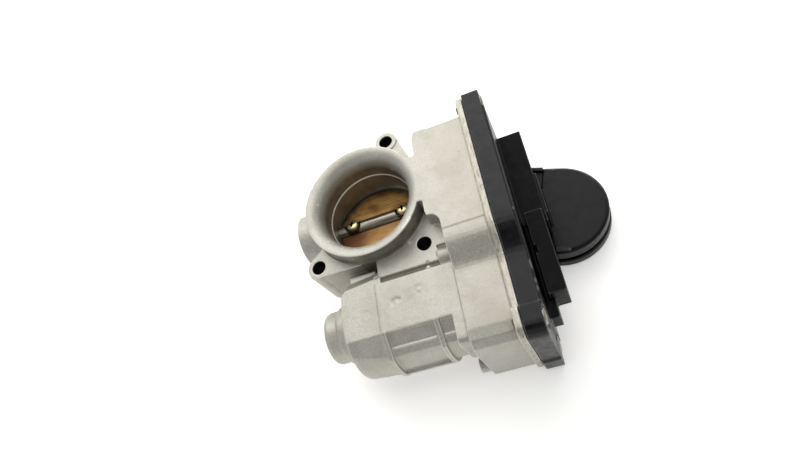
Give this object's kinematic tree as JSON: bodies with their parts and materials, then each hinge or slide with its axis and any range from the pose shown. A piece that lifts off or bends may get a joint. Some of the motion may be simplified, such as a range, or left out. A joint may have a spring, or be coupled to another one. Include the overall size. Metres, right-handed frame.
{
  "type": "electronic throttle body",
  "caption": "Drive-by-wire throttle body: a flanged bell-mouth casting with a sprung butterfly plate, turned by a side motor through gears under a black cover with a capped connector.",
  "frame": {"origin": "middle of the bounding box's base, under the lowest point, which is the gear cover's lower edge", "axes": "+X along the throttle shaft towards the gear cover, +Z along the bore towards the bell mouth, +Y completes the frame, away from the motor"},
  "size_m": [0.151, 0.1292, 0.0544],
  "materials": {
    "cast_aluminium": "light warm-grey die casting, satin, fine grain",
    "steel": "bright turned or drawn steel",
    "throttle_brass": "brushed golden-brown plate, slightly oil-stained",
    "zinc_yellow": "yellow zinc plated steel screw",
    "bronze": "sintered bronze",
    "black_plastic": "glass-filled black plastic, satin",
    "nylon": "natural nylon",
    "rubber": "black nitrile rubber",
    "magnet": "dark sintered ferrite",
    "board": "green circuit board",
    "copper": "copper and graphite",
    "tin": "tin plated contact"
  },
  "bodies": {
    "housing": {"closed_stop_screw": "steel", "connector_insert": "black_plastic", "cover_gasket": "rubber", "cover_screw_1": "steel", "cover_screw_2": "steel", "cover_screw_3": "steel", "cover_screw_4": "steel", "cover_sleeve_1": "steel", "cover_sleeve_2": "steel", "cover_sleeve_3": "steel", "cover_sleeve_4": "steel", "gear_cover": "black_plastic", "idler_pin": "steel", "motor_brush_1": "copper", "motor_brush_2": "copper", "motor_bush_front": "bronze", "motor_bush_rear": "bronze", "motor_can": "steel", "motor_end_plate": "nylon", "motor_magnet_1": "magnet", "motor_magnet_2": "magnet", "motor_screw_1": "steel", "motor_screw_2": "steel", "motor_terminal_1": "tin", "motor_terminal_2": "tin", "motor_wave_washer": "steel", "return_spring": "steel", "sensor_board": "board", "shaft_bearing_left": "steel", "shaft_bearing_right": "steel", "shaft_end_plug": "steel", "shaft_seal_left": "rubber", "shaft_seal_right": "rubber", "terminal_pin_1": "tin", "terminal_pin_2": "tin", "terminal_pin_3": "tin", "terminal_pin_4": "tin", "terminal_pin_5": "tin", "terminal_pin_6": "tin", "throttle_housing": "cast_aluminium"},
    "throttle": {"throttle_shaft": "steel", "throttle_plate": "throttle_brass", "plate_screw_1": "zinc_yellow", "plate_screw_2": "zinc_yellow", "sector_gear": "nylon", "sector_nut": "steel", "sensor_magnet": "magnet"},
    "idler": {"idler_gear": "nylon"},
    "rotor": {"motor_rotor": "steel", "motor_pinion": "zinc_yellow"},
    "dust_cap": {"connector_dust_cap": "black_plastic"}
  },
  "joints": [
    {"name": "throttle_turn", "type": "hinge", "parent": "housing", "child": "throttle", "pos_m": [0.01496, 0.0228, 0.028], "axis": [-1, 0, 0], "range_deg": [-8, 75], "stiffness_Nm_per_rad": 0.08, "deforming": ["return_spring"]},
    {"name": "idler_turn", "type": "hinge", "parent": "housing", "child": "idler", "pos_m": [0.02096, -0.0076, 0.02554], "axis": [-1, 0, 0], "range_deg": [-182, 22]},
    {"name": "rotor_turn", "type": "hinge", "parent": "housing", "child": "rotor", "pos_m": [-0.01504, -0.0316, 0.0257], "axis": [-1, 0, 0], "range_deg": [-75, 685]},
    {"name": "cap_pull", "type": "slide", "parent": "housing", "child": "dust_cap", "axis": [0, 0, -1], "range_m": [0, 0.012]}
  ],
  "couplings": [
    {"joint": "idler_turn", "follows": "throttle_turn", "ratio": -2.3889},
    {"joint": "rotor_turn", "follows": "throttle_turn", "ratio": 9.0778}
  ]
}
